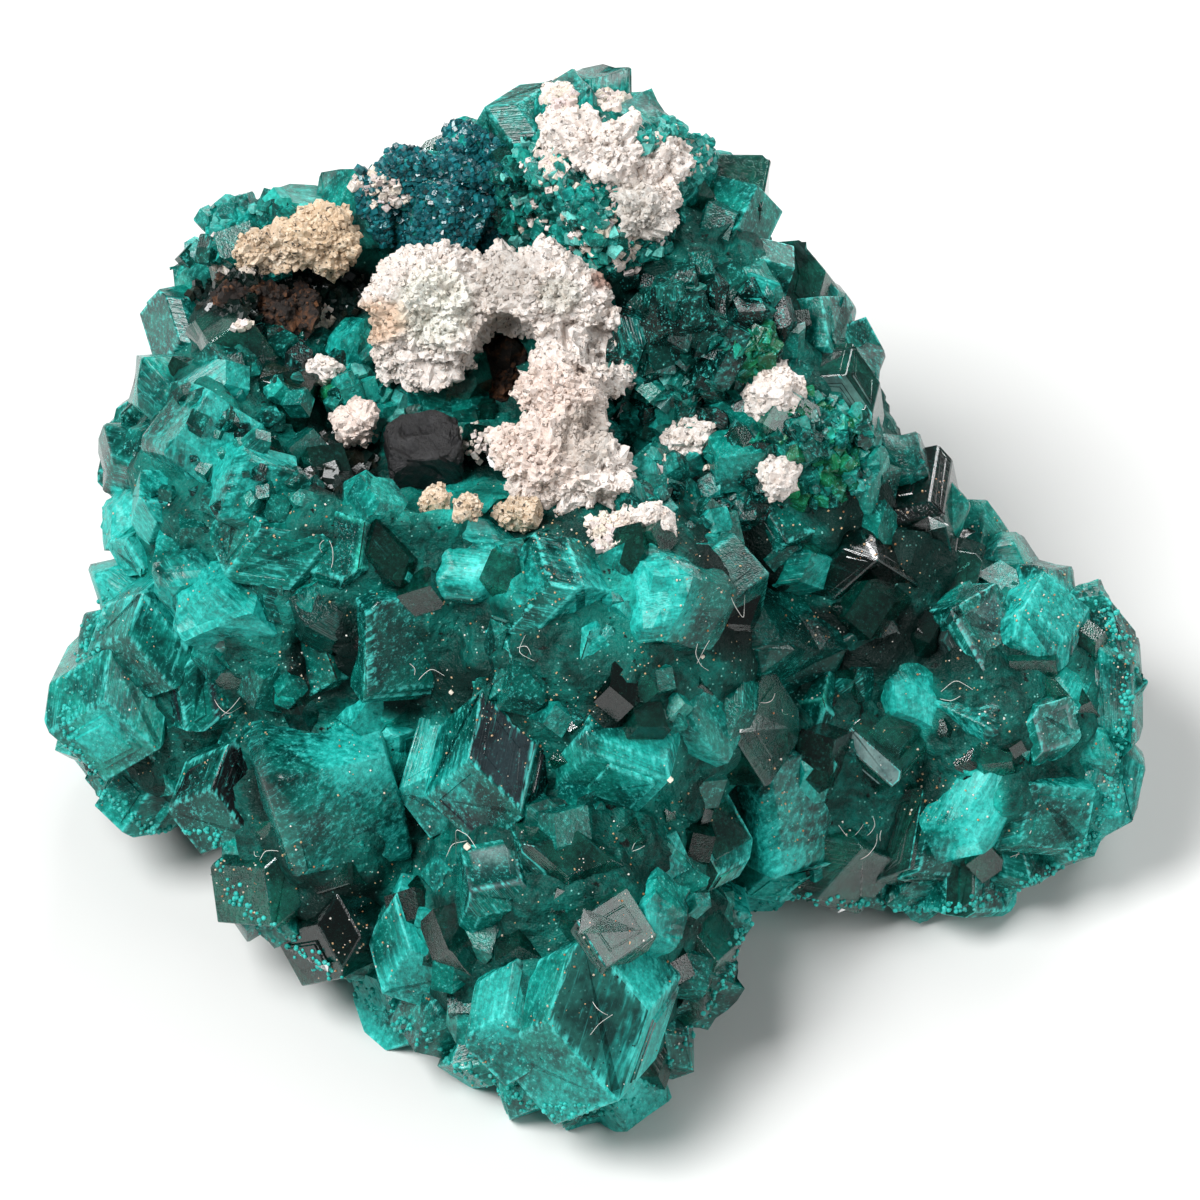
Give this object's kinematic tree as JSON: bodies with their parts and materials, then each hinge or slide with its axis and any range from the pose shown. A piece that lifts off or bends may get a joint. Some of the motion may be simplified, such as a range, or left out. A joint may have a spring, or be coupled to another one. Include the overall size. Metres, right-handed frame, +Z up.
{
  "type": "dioptase mineral specimen",
  "caption": "Hand specimen of emerald green dioptase crystals grown together, with a broken crater on top that holds lumps of white and cream matrix.",
  "frame": {"origin": "middle of the box at the level of the flat break that the specimen rests on", "axes": "+Z up, +X along the longest side, to the right in the picture, and +Y away from the viewer, who looks down at about 52 degrees"},
  "size_m": [0.0364, 0.0336, 0.0216],
  "materials": {
    "green_crystal": "clear to frosted emerald green crystal, glassy faces",
    "white_matrix": "sugary, matt, faintly translucent",
    "cream_matrix": "granular, matt",
    "rose_matrix": "sugary, matt",
    "brown_rock": "iron stained, rough",
    "black_oxide": "black, faintly shiny on its flat faces"
  },
  "bodies": {
    "root": {"dioptase": "green_crystal", "matrix_white": "white_matrix", "matrix_crest": "white_matrix", "matrix_cream": "cream_matrix", "matrix_tuft": "white_matrix", "matrix_rose": "rose_matrix", "matrix_ledge_1": "cream_matrix", "matrix_ledge_2": "cream_matrix", "matrix_ledge_3": "cream_matrix", "matrix_shoulder_1": "white_matrix", "matrix_shoulder_2": "white_matrix", "matrix_shoulder_3": "white_matrix", "matrix_shoulder_4": "white_matrix", "brown_rock": "brown_rock", "brown_pocket": "brown_rock", "oxide_block": "black_oxide"}
  },
  "joints": []
}
